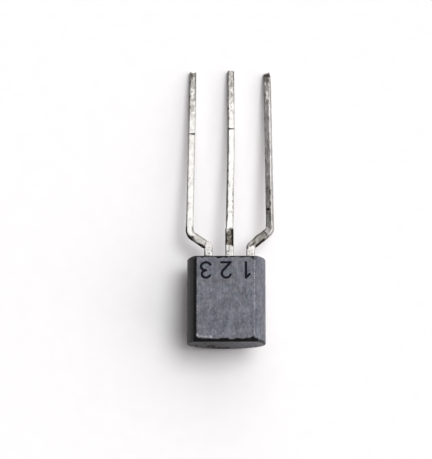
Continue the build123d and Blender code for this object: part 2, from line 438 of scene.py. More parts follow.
    # rings of the two rounded ends: same relief, less the inset
    keep[rim] = np.minimum(z0[rim], z[rim] + 0.0)
    P[:, sel, 2] = keep.reshape(m, -1)

    # matt skin of the round part: faint unevenness, and the flash on the parting line
    a = np.arctan2(P[:, :, 2], P[:, :, 0])
    round_part = ~sel
    rp = P[:, round_part]
    fx, fy, fz = rp[..., 0].ravel(), rp[..., 1].ravel(), rp[..., 2].ravel()
    skin = 0.0022 * fbm(fx, fy, fz, scale=2.2, octaves=3, seed=41) + 0.0010 * fbm(
        fx, fy, fz, scale=12, octaves=2, seed=42
    )
    flash = (
        bump(fz, 0.0, 0.016)
        * (0.010 + 0.008 * fbm(fy, np.sign(fx), scale=2.5, octaves=3, seed=43))
        * smoothstep(2.2, 2.32, np.abs(fx))
    )
    push = (skin + np.clip(flash, 0, 0.02)).reshape(rp.shape[:2])
    nr = normal[round_part]
    P[:, round_part, 0] += nr[None, :, 0] * push
    P[:, round_part, 2] += nr[None, :, 1] * push

    points = [P.reshape(-1, 3)]
    faces = []
    base = np.arange(m)[:, None] * n + np.arange(n)[None, :]
    A = base[:-1]
    B = np.roll(base, -1, 1)[:-1]
    C = np.roll(base, -1, 1)[1:]
    Dd = base[1:]
    quads = np.stack([A, B, C, Dd], -1).reshape(-1, 4)

    def cap(ring, rows_n, sign):
        """Grid across one end, from the front border to the back border."""
        ring_id = base[ring]
        f = P[ring, : nf + 1]
        b_index = np.concatenate([[0], np.arange(n - 1, nf - 1, -1)])
        b = P[ring, b_index]
        start = sum(len(q) for q in points)
        w = np.linspace(0, 1, rows_n + 1)[1:-1]
        inner = (
            f[None, 1:-1] * (1 - w)[:, None, None] + b[None, 1:-1] * w[:, None, None]
        )
        ids = np.zeros((rows_n + 1, nf + 1), int)
        ids[0] = ring_id[: nf + 1]
        ids[-1] = ring_id[b_index]
        ids[1:-1, 1:-1] = start + np.arange(inner.shape[0] * inner.shape[1]).reshape(
            inner.shape[0], inner.shape[1]
        )
        ids[1:-1, 0] = ring_id[0]
        ids[1:-1, -1] = ring_id[nf]
        q = []
        for r in range(rows_n):
            for i in range(nf):
                face = [ids[r, i], ids[r, i + 1], ids[r + 1, i + 1], ids[r + 1, i]]
                u = []
                for v in face:
                    if v not in u:
                        u.append(int(v))
                if len(u) >= 3:
                    q.append(u if sign > 0 else u[::-1])
        return inner.reshape(-1, 3), q

    # far end
    inner, far_faces = cap(m - 1, 68, 1)
    x, z = inner[:, 0], inner[:, 2]
    y = -(LENGTH - np.clip(-z, 0, None) * DRAFT)
    border = (R - FAR_R) - np.hypot(x, z)
    border = np.minimum(border, Z_B - FAR_R_FRONT - z)
    inside = smoothstep(0.0, 0.15, border)
    y += inside * 0.004 * fbm(x, z, scale=1.6, octaves=4, seed=51)
    # round mark of the ejector pin, a little below the face
    rr = np.hypot(x + 0.10, z + 0.62)
    y += 0.016 * smoothstep(0.86, 0.80, rr) + 0.014 * bump(rr, 0.86, 0.035)
    # scar where the runner was broken off, at the back edge
    gate = smoothstep(1.0, 0.7, np.hypot((x + 0.22) / 0.24, (z + 1.86) / 0.20))
    rough = fbm(x, z, scale=14, octaves=3, seed=53)
    y -= gate * (0.012 + 0.022 * rough)
    pits = np.zeros_like(x)
    for px, pz, rx, rz, deep in (
        (-1.79, -0.35, 0.07, 0.50, 0.026),
        (-1.02, -0.70, 0.20, 0.60, 0.022),
        (-0.78, -1.15, 0.14, 0.75, 0.026),
        (-0.47, -1.75, 0.17, 0.40, 0.034),
        (-0.16, -1.95, 0.12, 0.34, 0.036),
        (0.06, -1.80, 0.14, 0.46, 0.040),
        (-0.62, -2.10, 0.34, 0.16, 0.030),
        (0.25, -2.12, 0.30, 0.14, 0.030),
        (1.77, -0.60, 0.07, 0.34, 0.028),
        (1.45, -1.20, 0.08, 0.30, 0.018),
        (0.90, -0.20, 0.06, 0.14, 0.014),
        (0.35, 0.55, 0.06, 0.14, 0.014),
        (1.20, -1.15, 0.07, 0.20, 0.016),
        (-1.25, 0.55, 0.07, 0.16, 0.016),
    ):
        d = np.hypot((x - px) / rx, (z - pz) / rz)
        d = d + 0.35 * fbm(x, z, scale=9, octaves=2, seed=57)
        y += deep * smoothstep(1.0, 0.35, d)
        # mask of the pits, whose colour is later darkened as painted shade
        pits = np.maximum(pits, smoothstep(1.15, 0.6, d) * min(1.0, deep / 0.026))
    # the parting line crosses the end
    y += bump(z, 0.0, 0.02) * (-0.006)
    far = np.stack([x, y, z], 1)
    points.append(far)
    far_pits = pits
    # painted highlight: pale arcs along the lit right part of the rim
    arcs = bump(border, 0.10, 0.05) + 0.8 * bump(border, 0.27, 0.05) + 0.5 * bump(border, 0.44, 0.05)
    far_rim_highlight = arcs * smoothstep(0.55, 1.35, x) * (0.75 + 0.4 * fbm(x, z, scale=4, seed=58))

    # seating end
    inner, seat_faces = cap(0, 40, -1)
    x, z = inner[:, 0], inner[:, 2]
    y = np.zeros_like(x)
    border = (R - SEAT_R) - np.hypot(x, z)
    border = np.minimum(border, FLAT - SEAT_R - z)
    inside = smoothstep(0.0, 0.12, border)
    y -= inside * 0.005 * (0.5 + 0.5 * fbm(x, z, scale=2.0, octaves=4, seed=61))
    points.append(np.stack([x, y, z], 1))

    pts = np.concatenate(points)
    faces = [f[::-1] for f in quads.tolist() + far_faces + seat_faces]
    outer_count = len(pts)

    # the room that the frame, the chip and the wires take up, open side turned inwards
    room, room_faces = inside_of(
        "moulded_body", -0.03, lambda v: np.hypot(v[:, 0], v[:, 2]).max() < R - 0.08
    )
    faces += [[i + outer_count for i in f[::-1]] for f in room_faces]
    pts = np.concatenate([pts, room])

    # point values for the finish
    total = len(pts)
    mark = np.full(total, 1.0)
    mark[: m * n] = 1.0
    sel_full = np.tile(sel, (m, 1)).ravel()
    ids = np.nonzero(sel_full)[0]
    mark_vals = np.clip(stroke, -1, 1)
    mark[ids] = mark_vals
    x, y, z = pts[:, 0], pts[:, 1], pts[:, 2]
    up = (z > Z_B - 0.02) & (np.arange(total) < outer_count)
    # painted highlight as a thin light line along the lit right edge, and only a few worn flecks along the
    # left one
    right = bump(x, X_F - 0.035, 0.030) * (y < -0.35) * (y > -4.75)
    right = right * (0.25 + 0.75 * smoothstep(-0.12, 0.22, fbm(y, scale=4.4, octaves=3, seed=71)))
    left = bump(x, -X_F + 0.02, 0.024) * smoothstep(
        0.05, 0.35, fbm(y, scale=3.6, octaves=3, seed=72)
    ) * smoothstep(-1.3, -1.9, y) * smoothstep(-4.1, -3.5, y)
    wear = np.where(up, np.clip(right + left, 0, 1), 0.0)
    wear[m * n : m * n + len(far)] = 0.75 * np.clip(far_rim_highlight, 0, 1)
    # painted shadow: a dull dark line just outside the right edge
    groove = bump(x, X_F + 0.045, 0.03) * (0.6 + 0.4 * fbm(y, scale=4, seed=73))
    groove = np.where(up & (y > -4.8), groove, 0.0)
    lip_all = np.zeros(total)
    lip_all[ids] = lip
    flat_mask = np.where(up, smoothstep(FLAT - 0.026, FLAT - 0.012, z), 0.0)
    # painted light: the lit right side of the moulding gets the pale film of the flat, the rest much less
    painted_light_right_side = smoothstep(1.64, 1.72, x) * smoothstep(-1.2, 0.0, z)
    painted_light_right_side = painted_light_right_side * smoothstep(-4.96, -4.90, y + 0.06 * (x > X_B))
    rest = np.where(np.abs(x) > X_B - 0.01, 0.10, 0.0) * (z <= Z_B)
    rest = np.maximum(rest, 0.22 * smoothstep(0.2, -0.6, z))
    rest = np.maximum(rest, 0.22 * (y > -0.012))
    flat_mask = np.maximum(flat_mask, np.maximum(painted_light_right_side, rest))
    ends = np.zeros(total)
    ends[m * n : m * n + len(far)] = 1.0
    # painted light and shade on the far end: its film is faint at the left and lower part and rises
    # towards the lit right
    flat_mask = np.where(
        ends > 0.5, (0.07 + 0.95 * smoothstep(-0.9, 1.7, x + 0.25 * (z + 0.5)))
        * (0.80 + 0.45 * fbm(x, z * 0.35, scale=5.0, octaves=3, seed=75)), flat_mask
    )
    chip_all = np.zeros(total)
    chip_all[ids] = np.clip(chips, 0, 1)
    pit_all = np.zeros(total)
    pit_all[m * n : m * n + len(far)] = far_pits
    values = {
        "mark": mark,
        "wear": wear,
        "groove": np.clip(groove, 0, 1),
        "lip": lip_all,
        "flat": flat_mask,
        "chip": chip_all,
        "pit": pit_all,
    }
    return make_mesh("moulding", pts, faces, values)


# ---------------------------------------------------------------- leads


def rounded_path(points, radii, step):
    """Points along a polyline whose corners are turned with the given radii."""
    out = []
    pts = [np.array(p, float) for p in points]
    cur = pts[0]
    segs = []
    for i in range(1, len(pts) - 1):
        a, c, b = pts[i - 1], pts[i], pts[i + 1]
        u, v = (a - c) / np.linalg.norm(a - c), (b - c) / np.linalg.norm(b - c)
        ang = math.acos(np.clip(np.dot(u, v), -1, 1))
        t = radii[i - 1] / math.tan(ang / 2)
        p0, p1 = c + u * t, c + v * t
        mid = (u + v) / np.linalg.norm(u + v)
        centre = c + mid * radii[i - 1] / math.sin(ang / 2)
        segs.append(("line", cur, p0))
        segs.append(("arc", p0, p1, centre, radii[i - 1]))
        cur = p1
    segs.append(("line", cur, pts[-1]))
    for s in segs:
        if s[0] == "line":
            _, a, b = s
            l = np.linalg.norm(b - a)
            k = max(1, int(round(l / step)))
            for j in range(k):
                out.append(a + (b - a) * j / k)
        else:
            _, a, b, centre, r = s
            a0 = math.atan2(*(a - centre)[::-1])
            a1 = math.atan2(*(b - centre)[::-1])
            d = (a1 - a0 + math.pi) % (2 * math.pi) - math.pi
            k = max(4, int(round(abs(d) * r / (step * 0.8))))
            for j in range(k):
                w = a0 + d * j / k
                out.append(centre + r * np.array([math.cos(w), math.sin(w)]))
    out.append(pts[-1])
    return np.array(out)


def section(width, thick, corner, per_corner=5, per_w=7, per_t=7):
    """Rounded rectangle, anticlockwise from its right side. Returns offsets and edge shares."""
    hw, ht = width / 2, thick / 2
    pts, edge = [], []
    corners = [(1, 1, 0), (-1, 1, 90), (-1, -1, 180), (1, -1, 270)]
    for k, (sx, sy, a0) in enumerate(corners):
        cx, cy = sx * (hw - corner), sy * (ht - corner)
        for j in range(per_corner + 1):
            a = math.radians(a0 + 90 * j / per_corner)
            pts.append((cx + corner * math.cos(a), cy + corner * math.sin(a)))
            edge.append(1.0)
        # straight run to the next corner
        nx, ny, _ = corners[(k + 1) % 4]
        a = math.radians(a0 + 90)
        x0, y0 = pts[-1]
        x1 = nx * (hw - corner) + corner * math.cos(a)
        y1 = ny * (ht - corner) + corner * math.sin(a)
        cnt = per_w if k in (0, 2) else per_t
        for j in range(1, cnt):
            t = j / cnt
            pts.append((x0 + (x1 - x0) * t, y0 + (y1 - y0) * t))
            edge.append(max(0.0, 1 - min(t, 1 - t) * 4))
    return np.array(pts), np.array(edge)


def build_lead(name, node, points, radii, spec):
    """A lead lofted along its centre line. spec gives width, roll, lift and marks by place."""
    path = rounded_path(points, radii, 0.024)
    seg = np.linalg.norm(np.diff(path, axis=0), axis=1)
    s = np.concatenate([[0], np.cumsum(seg)])
    tangent = np.gradient(path, s, axis=0)
    tangent /= np.linalg.norm(tangent, axis=1)[:, None]
    side = np.stack([tangent[:, 1], -tangent[:, 0]], 1)  # towards +x where it runs up
    width = spec["width"](path, s)
    thick = spec["thick"](path, s)
    roll = spec["roll"](path, s)
    lift = spec["lift"](path, s)
    base_sec, edge = section(1.0, 1.0, 0.17)
    m, n = len(path), len(base_sec)
    P = np.zeros((m, n, 3))
    for i in range(m):
        sec, _ = section(width[i], thick[i], spec.get("corner", 0.07))
        c, sn = math.cos(roll[i]), math.sin(roll[i])
        u = sec[:, 0] * c + sec[:, 1] * sn
        v = -sec[:, 0] * sn + sec[:, 1] * c
        P[i, :, 0] = path[i, 0] + side[i, 0] * u
        P[i, :, 1] = path[i, 1] + side[i, 1] * u
        P[i, :, 2] = v + lift[i]
    S = np.repeat(s[:, None], n, 1)
    Y = np.repeat(path[:, 1][:, None], n, 1)
    E = np.repeat(edge[None], m, 0)
    # outward normal of each point
    dP = np.roll(P, -1, 1) - np.roll(P, 1, 1)
    T3 = np.concatenate([tangent, np.zeros((m, 1))], 1)[:, None, :].repeat(n, 1)
    S3 = np.concatenate([side, np.zeros((m, 1))], 1)[:, None, :].repeat(n, 1)
    N = np.cross(dP, T3)
    N /= np.linalg.norm(N, axis=2)[..., None] + 1e-12
    centre = P.mean(1, keepdims=True)
    N *= np.sign(((P - centre) * N).sum(2, keepdims=True))
    g = {
        "P": P,
        "N": N,
        "Y": Y,
        "S": S,
        "L": s[-1],
        "E": E,
        "A": (N * S3).sum(2),  # which side the surface looks to: -1 left, 1 right
        "U": ((P - centre) * S3).sum(2),  # mm across from the middle
    }
    # rolled and dipped strip: long faint drawing marks and lumps of solder
    fl = [P[..., k].ravel() for k in range(3)]
    lumps = fbm(fl[0], fl[1] * 0.7, fl[2], scale=5.0, octaves=3, seed=spec["seed"])
    fine = fbm(fl[0], fl[1] * 0.6, fl[2], scale=15.0, octaves=2, seed=spec["seed"] + 3)
    disp = spec["lumps"](Y) * (0.010 * lumps + 0.005 * fine).reshape(m, n)
    dark = np.zeros((m, n))
    tarnish = np.zeros((m, n))
    press = np.zeros((m, n))
    for fn in spec["marks"]:
        d, k, t, q = fn(g)
        disp = disp + d
        dark = np.maximum(dark, k)
        tarnish = np.maximum(tarnish, t)
        press = np.maximum(press, q)
    P = P + N * disp[..., None]
    if "tip" in spec:
        P = spec["tip"](P, g)
    pts = P.reshape(-1, 3)
    base = np.arange(m)[:, None] * n + np.arange(n)[None]
    A, B = base[:-1], np.roll(base, -1, 1)[:-1]
    C, D = np.roll(base, -1, 1)[1:], base[1:]
    quads = np.stack([D, C, B, A], -1).reshape(-1, 4).tolist()
    # both ends closed by rings drawn in to the middle
    extra = []
    for end, order in ((0, 1), (m - 1, -1)):
        ring = P[end]
        mid = ring.mean(0)
        prev = base[end]
        for f in (0.8, 0.5, 0.2):
            ids = len(pts) + sum(len(e) for e in extra) + np.arange(n)
            extra.append(mid + (ring - mid) * f)
            for j in range(n):
                k = (j + 1) % n
                q = [int(prev[j]), int(ids[j]), int(ids[k]), int(prev[k])]
                quads.append(q[::-1] if order > 0 else q)
            prev = ids
        quads.append([int(v) for v in (prev[::-1] if order < 0 else prev)])
    outer = np.concatenate([pts] + extra)
    # the plain part of the stamping that lies in the moulding
    inner, inner_faces = inside_of(node, points[0][1] + 0.005, lambda v: True)
    allpts = np.concatenate([outer, inner])
    quads += [[i + len(outer) for i in f] for f in inner_faces]
    full = {}
    for key, v in (("edge", E), ("dark", dark), ("tarnish", tarnish), ("press", press)):
        tail = [v[e] for e in (0, 0, 0, m - 1, m - 1, m - 1)]
        full[key] = np.concatenate([v.ravel()] + tail + [np.zeros(len(inner))])
    return make_mesh(name, allpts, quads, full)


def shaped(v, like):
    return np.asarray(v).reshape(like.shape)


def noise_at(g, scale, seed, octaves=3, stretch=1.0):
    P = g["P"]
    return shaped(
        fbm(P[..., 0].ravel(), P[..., 1].ravel() * stretch, P[..., 2].ravel(),
            scale=scale, octaves=octaves, seed=seed),
        P[..., 0],
    )


def facing_up(g, a=0.1, b=0.5):
    return smoothstep(a, b, g["N"][..., 2])


def nick(y0, wide, deep, k=1.0, skew=0.0, heavy=0.0, u0=-9, u1=9):
    """A narrow cut across the upper face, heavier at one side."""

    def fn(g):
        u = g["U"] / 0.2
        w = wide * (1 + 0.5 * heavy * u)
        c = np.exp(-(((g["P"][..., 1] - y0 - skew * g["U"]) / w) ** 2)) * facing_up(g)
        c = c * smoothstep(u0 - 0.1, u0 + 0.1, u) * smoothstep(u1 + 0.1, u1 - 0.1, u)
        c = c * (1 + heavy * u * 0.5) * (0.85 + 0.3 * noise_at(g, 12, 5))
        return -deep * c, k * np.clip(c * 1.5, 0, 1), 0 * c, 0 * c

    return fn


def spot(x, y, rx, ry, dark=1.0, tarnish=0.0, turn=0.0, seed=1, deep=0.006, ragged=0.4):
    """A small blemish seen from above, at x and y, with a ragged rim."""

    def fn(g):
        dx, dy = g["P"][..., 0] - x, g["P"][..., 1] - y
        c, s = math.cos(math.radians(turn)), math.sin(math.radians(turn))
        r = np.hypot((dx * c + dy * s) / rx, (-dx * s + dy * c) / ry)
        near = r < 2.5
        wob = np.zeros_like(r)
        if near.any():
            P = g["P"][near]
            wob[near] = fbm(P[:, 0], P[:, 1], P[:, 2], scale=20, octaves=2, seed=seed)
        k = smoothstep(1.15, 0.60, r + ragged * wob) * facing_up(g, -0.15, 0.2)
        return -deep * k, dark * k, tarnish * k, 0 * k

    return fn


def along_edge(y0, y1, side, strength, seed, gaps=0.5, reach=0.07, soft=0.15, scale=5.0,
               tarnish=0.0, taper=0.0):
    """Darker line along one side, reach mm wide seen from above, broken by the noise."""

    def fn(g):
        y = g["Y"]
        w = smoothstep(y0 - soft, y0 + soft, y) * smoothstep(y1 + soft, y1 - soft, y)
        f = noise_at(g, scale, seed, stretch=0.8)
        half = np.abs(g["U"]).max(1, keepdims=True)
        wide = reach * (1 + 0.45 * noise_at(g, 7.0, seed + 1)) + taper * (y - y0)
        k = smoothstep(half - wide - 0.018, half - wide + 0.018, side * g["U"]) * w
        k = k * np.clip(1 - gaps * smoothstep(0.25, -0.35, f), 0, 1)
        return -0.003 * k, strength * k, tarnish * k, 0 * k

    return fn


def bulge(x, y, r, out):
    """Metal squeezed out sideways by the forming tool."""

    def fn(g):
        d = np.hypot(g["P"][..., 0] - x, g["P"][..., 1] - y)
        k = np.exp(-((d / r) ** 2)) * smoothstep(0.2, 0.8, np.abs(g["A"]))
        return out * k, 0 * k, 0 * k, 0 * k

    return fn


def specks(window, seed, threshold, scale=15.0, dark=1.0, bias=None, deep=0.004):
    """Fine pits where the tin is missing."""

    def fn(g):
        f = noise_at(g, scale, seed)
        if bias is not None:
            f = f + bias(g)
        k = smoothstep(threshold, threshold + 0.16, f) * window(g["Y"])
        return -deep * k, dark * k, 0 * k, 0 * k

    return fn


def mottled(window, seed, threshold, scale=5.5, amount=1.0, width=0.30, bias=None, deep=0.0):
    """Cloudy dull patches of tarnish."""

    def fn(g):
        f = noise_at(g, scale, seed, stretch=0.75)
        if bias is not None:
            f = f + bias(g)
        k = smoothstep(threshold, threshold + width, f) * window(g["Y"])
        return -deep * k, 0 * k, amount * k, 0 * k

    return fn


def pressed(y0, y1, deep, soft=0.03, press=0.0, tarnish=0.0, slope=0.0, seed=0, ragged=0.0,
            side_dark=0.0, clear=None):
    """The flat pressed into the upper face by the forming tool."""

    def fn(g):
        y = g["Y"] + (ragged * noise_at(g, 9.0, seed) if ragged else 0)
        w = smoothstep(y0 - soft, y0 + soft, y) * smoothstep(y1 + soft, y1 - soft, y)
        up = facing_up(g, 0.25, 0.8)
        t = np.clip((g["Y"] - y0) / (y1 - y0), 0, 1)
        d = deep * (1 + slope * (t - 0.5))
        body = 0.80 + 0.5 * noise_at(g, 7.0, seed + 1, stretch=0.5)
        if clear:
            cx, cy, rx, ry = clear
            r = np.hypot((g["P"][..., 0] - cx) / rx, (g["P"][..., 1] - cy) / ry)
            body = body * smoothstep(0.55, 1.1, r + 0.4 * noise_at(g, 12.0, seed + 2))
        dk = side_dark * w * smoothstep(0.25, 0.6, np.abs(g["A"]))
        # the pressed colour is darker, partly its own colour and partly painted dark reflection of the
        # pressed face
        return -d * w * up, dk, np.clip(tarnish * w * body, 0, 1), np.clip(
            press * w * body, 0, 1
        )

    return fn


def upper(a, b):
    """Window that opens between a and b on the way to the tips."""
    return lambda y: smoothstep(a, b, y)


def between(a, b, c, d):
    return lambda y: smoothstep(a, b, y) * smoothstep(d, c, y)


X_E, X_BASE, X_C = 0.185 - 1.27, 0.185, 0.185 + 1.27


def const(v):
    return lambda path, s: np.full(len(path), v)


def by_y(*knots):
    """Value interpolated on the path's y."""
    ys, vs = [k[0] for k in knots], [k[1] for k in knots]
    return lambda path, s: np.interp(path[:, 1], ys, vs)


def at_edges(g):
    """More tarnish on the two upper corners, less on the middle of the face."""
    return 0.35 * smoothstep(0.25, 0.6, np.abs(g["A"])) - 0.12


def build_leads():
    deg = math.radians
    e = build_lead(
        "lead_left",
        "emitter_lead",
        [(X_E, -0.30), (X_E, 0.825), (-2.222, 1.590), (-2.040, 11.69)],
        [0.24, 0.48],
        {
            "seed": 101,
            "width": by_y((0.4, 0.505), (0.8, 0.50), (1.9, 0.47), (2.4, 0.43), (9.5, 0.42), (11.7, 0.385)),
            "thick": by_y((0.4, 0.395), (2.0, 0.40), (12, 0.40)),
            "roll": by_y((0.8, deg(0)), (1.6, deg(2)), (2.6, deg(5)), (9, deg(4)), (12, deg(1))),
            "lift": by_y((2.0, 0.0), (12.0, 0.010)),
            "lumps": lambda Y: np.interp(Y, [0, 2, 9, 10, 12], [0.35, 0.45, 0.7, 1.7, 2.2]),
            "marks": [
                nick(7.76, 0.030, 0.030, heavy=0.8),
                nick(4.92, 0.018, 0.006, k=0.35, u0=0.3),
                pressed(0.95, 1.42, 0.022, tarnish=0.42, seed=121, ragged=0.05),
                # dark outer edge of the bend, with a break where the strip is folded
                along_edge(1.32, 2.05, -1, 1.0, 131, gaps=0.05, reach=0.145, soft=0.12,
                           taper=-0.075),
                along_edge(0.74, 1.16, -1, 1.0, 132, gaps=0.05, reach=0.115, soft=0.05),
                along_edge(1.10, 2.60, -1, 0.55, 130, gaps=0.20, reach=0.06, soft=0.25),
                spot(-1.34, 0.79, 0.09, 0.07, seed=133),
                spot(-2.04, 1.40, 0.11, 0.08, dark=0.85, seed=134, ragged=0.7, turn=-40),
                spot(-1.72, 1.20, 0.03, 0.09, dark=0.35, tarnish=0.5, seed=140, turn=-30,
                     ragged=0.8),
                spot(-2.02, 1.84, 0.07, 0.28, dark=0.10, tarnish=1.0, turn=8, seed=135),
                spot(-1.68, 1.56, 0.05, 0.04, dark=0.50, seed=136, deep=-0.025),
                along_edge(1.00, 1.50, 1, 0.50, 137, gaps=0.2, reach=0.07, soft=0.06),
                along_edge(0.05, 0.75, -1, 0.40, 138, gaps=0.4, reach=0.045),
                spot(-1.02, 0.72, 0.10, 0.05, dark=0.0, tarnish=0.5, seed=142, ragged=0.8),
                specks(between(0.0, 0.1, 0.50, 0.72), 119, 0.12, scale=10, dark=0.55),
                specks(between(0.0, 0.1, 0.34, 0.46), 120, 0.02, scale=8, dark=0.60),
                # straight run
                along_edge(2.4, 9.0, -1, 0.28, 139, gaps=0.9, reach=0.030),
                along_edge(2.6, 8.4, 1, 0.0, 141, gaps=0.6, reach=0.10, tarnish=0.30),
                spot(-2.30, 3.76, 0.030, 0.045, dark=0.85, seed=151),
                spot(-2.28, 3.44, 0.040, 0.050, dark=0.75, seed=152),
                spot(-2.05, 3.95, 0.030, 0.030, dark=0.35, seed=153),
                spot(-2.30, 3.05, 0.030, 0.040, dark=0.4, seed=154),
                specks(between(2.3, 2.6, 5.2, 6.4), 117, 0.47, scale=13, dark=0.5),
                # upper part: dull patches, darker along both edges
                mottled(upper(8.6, 9.6), 161, 0.06, amount=0.75, bias=at_edges),
                mottled(upper(10.5, 11.3), 162, -0.18, amount=0.80),
                mottled(upper(8.4, 9.2), 160, -0.06, scale=11, amount=0.62, width=0.16),
                specks(upper(9.2, 9.8), 171, 0.30, scale=11, dark=0.45),
                mottled(between(2.0, 2.4, 8.6, 9.0), 172, 0.05, scale=8, amount=0.30, width=0.2),
                along_edge(9.9, 11.6, 1, 0.40, 163, gaps=0.8, reach=0.08, tarnish=0.9),
                along_edge(8.5, 11.6, -1, 0.28, 164, gaps=0.8, reach=0.07, tarnish=0.8),
                spot(-2.20, 10.12, 0.06, 0.09, dark=0.6, seed=165),
                spot(-2.23, 9.42, 0.05, 0.08, dark=0.65, seed=166),
                spot(-1.90, 10.00, 0.05, 0.14, dark=0.3, tarnish=0.6, turn=-12, seed=167),
                spot(-1.90, 8.95, 0.05, 0.16, dark=0.2, tarnish=0.5, seed=168),
                spot(-2.12, 11.42, 0.07, 0.20, dark=0.45, tarnish=0.9, seed=169),
                spot(-1.90, 11.42, 0.07, 0.14, dark=0.35, tarnish=0.9, seed=170),
            ],
            "tip": tip_notch,
        },
    )
    b = build_lead(
        "lead_middle",
        "base_lead",
        [(X_BASE, -0.30), (X_BASE, 1.9), (0.272, 6.75), (0.271, 11.732)],
        [2.0, 6.0],
        {
            "seed": 201,
            "width": by_y((0.4, 0.505), (1.84, 0.505), (2.02, 0.43), (12, 0.40)),
            "thick": by_y((0.4, 0.395), (2.0, 0.40), (12, 0.40)),
            "roll": by_y((1.9, deg(0)), (2.2, deg(8)), (3.0, deg(11)), (8.0, deg(9)), (11.7, deg(3))),
            "lift": by_y((2.0, 0.0), (12.0, 0.022)),
            "lumps": lambda Y: np.interp(Y, [0, 2, 3, 9, 10, 12], [0.35, 0.45, 0.8, 0.7, 1.7, 2.2]),
            "marks": [
                nick(8.07, 0.032, 0.028, heavy=-0.5),
                nick(2.9, 0.02, 0.010, k=0.4),
                # pressed flat, strongly darkened with painted dark reflection
                pressed(0.90, 1.88, 0.035, soft=0.02, press=0.95, slope=-0.6, seed=221,
                        ragged=0.10, side_dark=0.85, clear=(0.03, 1.82, 0.11, 0.13)),
                # blackest down its right side
                along_edge(0.80, 1.86, 1, 1.0, 222, gaps=0.05, reach=0.115, soft=0.04),
                along_edge(0.92, 1.60, -1, 1.0, 229, gaps=0.05, reach=0.135, soft=0.05),
                spot(0.36, 1.66, 0.10, 0.28, dark=1.0, seed=224, ragged=0.4),
                spot(0.36, 1.10, 0.05, 0.20, dark=0.9, seed=231, ragged=0.5),
                specks(between(0.95, 1.0, 1.7, 1.8), 273, 0.16, scale=12, dark=0.55),
                spot(0.22, 1.05, 0.05, 0.26, dark=0.35, seed=230, ragged=0.8),
                spot(0.16, 0.66, 0.025, 0.20, dark=0.30, tarnish=0.5, seed=225),
                spot(0.07, 0.50, 0.06, 0.05, dark=0.22, tarnish=0.4, seed=226),
                spot(0.33, 0.55, 0.05, 0.04, dark=0.30, tarnish=0.4, seed=227),
                along_edge(0.05, 0.85, -1, 0.30, 228, gaps=0.4, reach=0.04),
                specks(between(0.0, 0.1, 0.45, 0.70), 219, 0.22, scale=10, dark=0.45),
                # left side darker all the way up: painted shade on the side turned from the light, partly
                # dull tin, with black specks
                along_edge(2.3, 8.9, -1, 0.42, 231, gaps=0.45, reach=0.12, tarnish=0.5),
                spot(0.09, 6.58, 0.04, 0.12, dark=0.8, seed=232),
                spot(0.10, 5.47, 0.05, 0.07, dark=0.95, seed=233),
                spot(0.09, 4.74, 0.05, 0.15, dark=0.85, seed=234),
                spot(0.08, 7.35, 0.04, 0.20, dark=0.45, seed=235),
                spot(0.08, 2.70, 0.04, 0.14, dark=0.65, seed=236),
                spot(0.09, 3.55, 0.04, 0.10, dark=0.5, seed=237),
                # dashes along its right corner
                spot(0.38, 4.97, 0.025, 0.05, dark=0.50, seed=241),
                spot(0.38, 4.53, 0.025, 0.04, dark=0.45, seed=242),
                spot(0.39, 4.00, 0.028, 0.16, dark=0.65, seed=243),
                spot(0.38, 3.58, 0.030, 0.06, dark=0.75, seed=244),
                spot(0.38, 3.22, 0.026, 0.10, dark=0.60, seed=245),
                spot(0.38, 2.72, 0.026, 0.08, dark=0.45, seed=246),
                spot(0.22, 4.62, 0.06, 0.30, dark=0.0, tarnish=0.45, turn=-12, seed=247),
                spot(0.34, 5.55, 0.03, 0.10, dark=0.0, tarnish=0.5, turn=-30, seed=248),
                specks(between(2.2, 2.5, 4.9, 6.0), 213, 0.40, scale=13, dark=0.55),
                along_edge(2.3, 9.0, 1, 0.0, 249, gaps=0.5, reach=0.10, tarnish=0.25),
                # upper part
                mottled(upper(8.8, 9.8), 261, 0.08, amount=0.65, bias=at_edges),
                mottled(upper(9.6, 10.4), 262, -0.30, amount=0.48),
                mottled(upper(8.7, 9.4), 260, -0.08, scale=11, amount=0.66, width=0.16),
                specks(upper(9.4, 9.9), 271, 0.28, scale=12, dark=0.40),
                mottled(between(2.0, 2.4, 8.6, 9.0), 272, 0.05, scale=8, amount=0.28, width=0.2),
                along_edge(8.9, 11.7, -1, 0.22, 263, gaps=0.8, reach=0.09, tarnish=0.7),
                along_edge(10.3, 11.7, 1, 0.60, 264, gaps=1.0, reach=0.085, tarnish=0.7,
                           scale=3.2),
                spot(0.08, 10.17, 0.05, 0.10, dark=0.65, seed=265),
                spot(0.10, 9.36, 0.06, 0.12, dark=0.9, seed=266),
                spot(0.09, 9.00, 0.05, 0.08, dark=0.7, seed=267),
                spot(0.43, 9.10, 0.06, 0.06, dark=0.25, tarnish=0.5, seed=268),
                spot(0.30, 9.75, 0.09, 0.20, dark=0.0, tarnish=0.55, turn=-25, seed=269),
                spot(0.25, 10.75, 0.10, 0.20, dark=0.0, tarnish=0.5, seed=270),
            ],
        },
    )
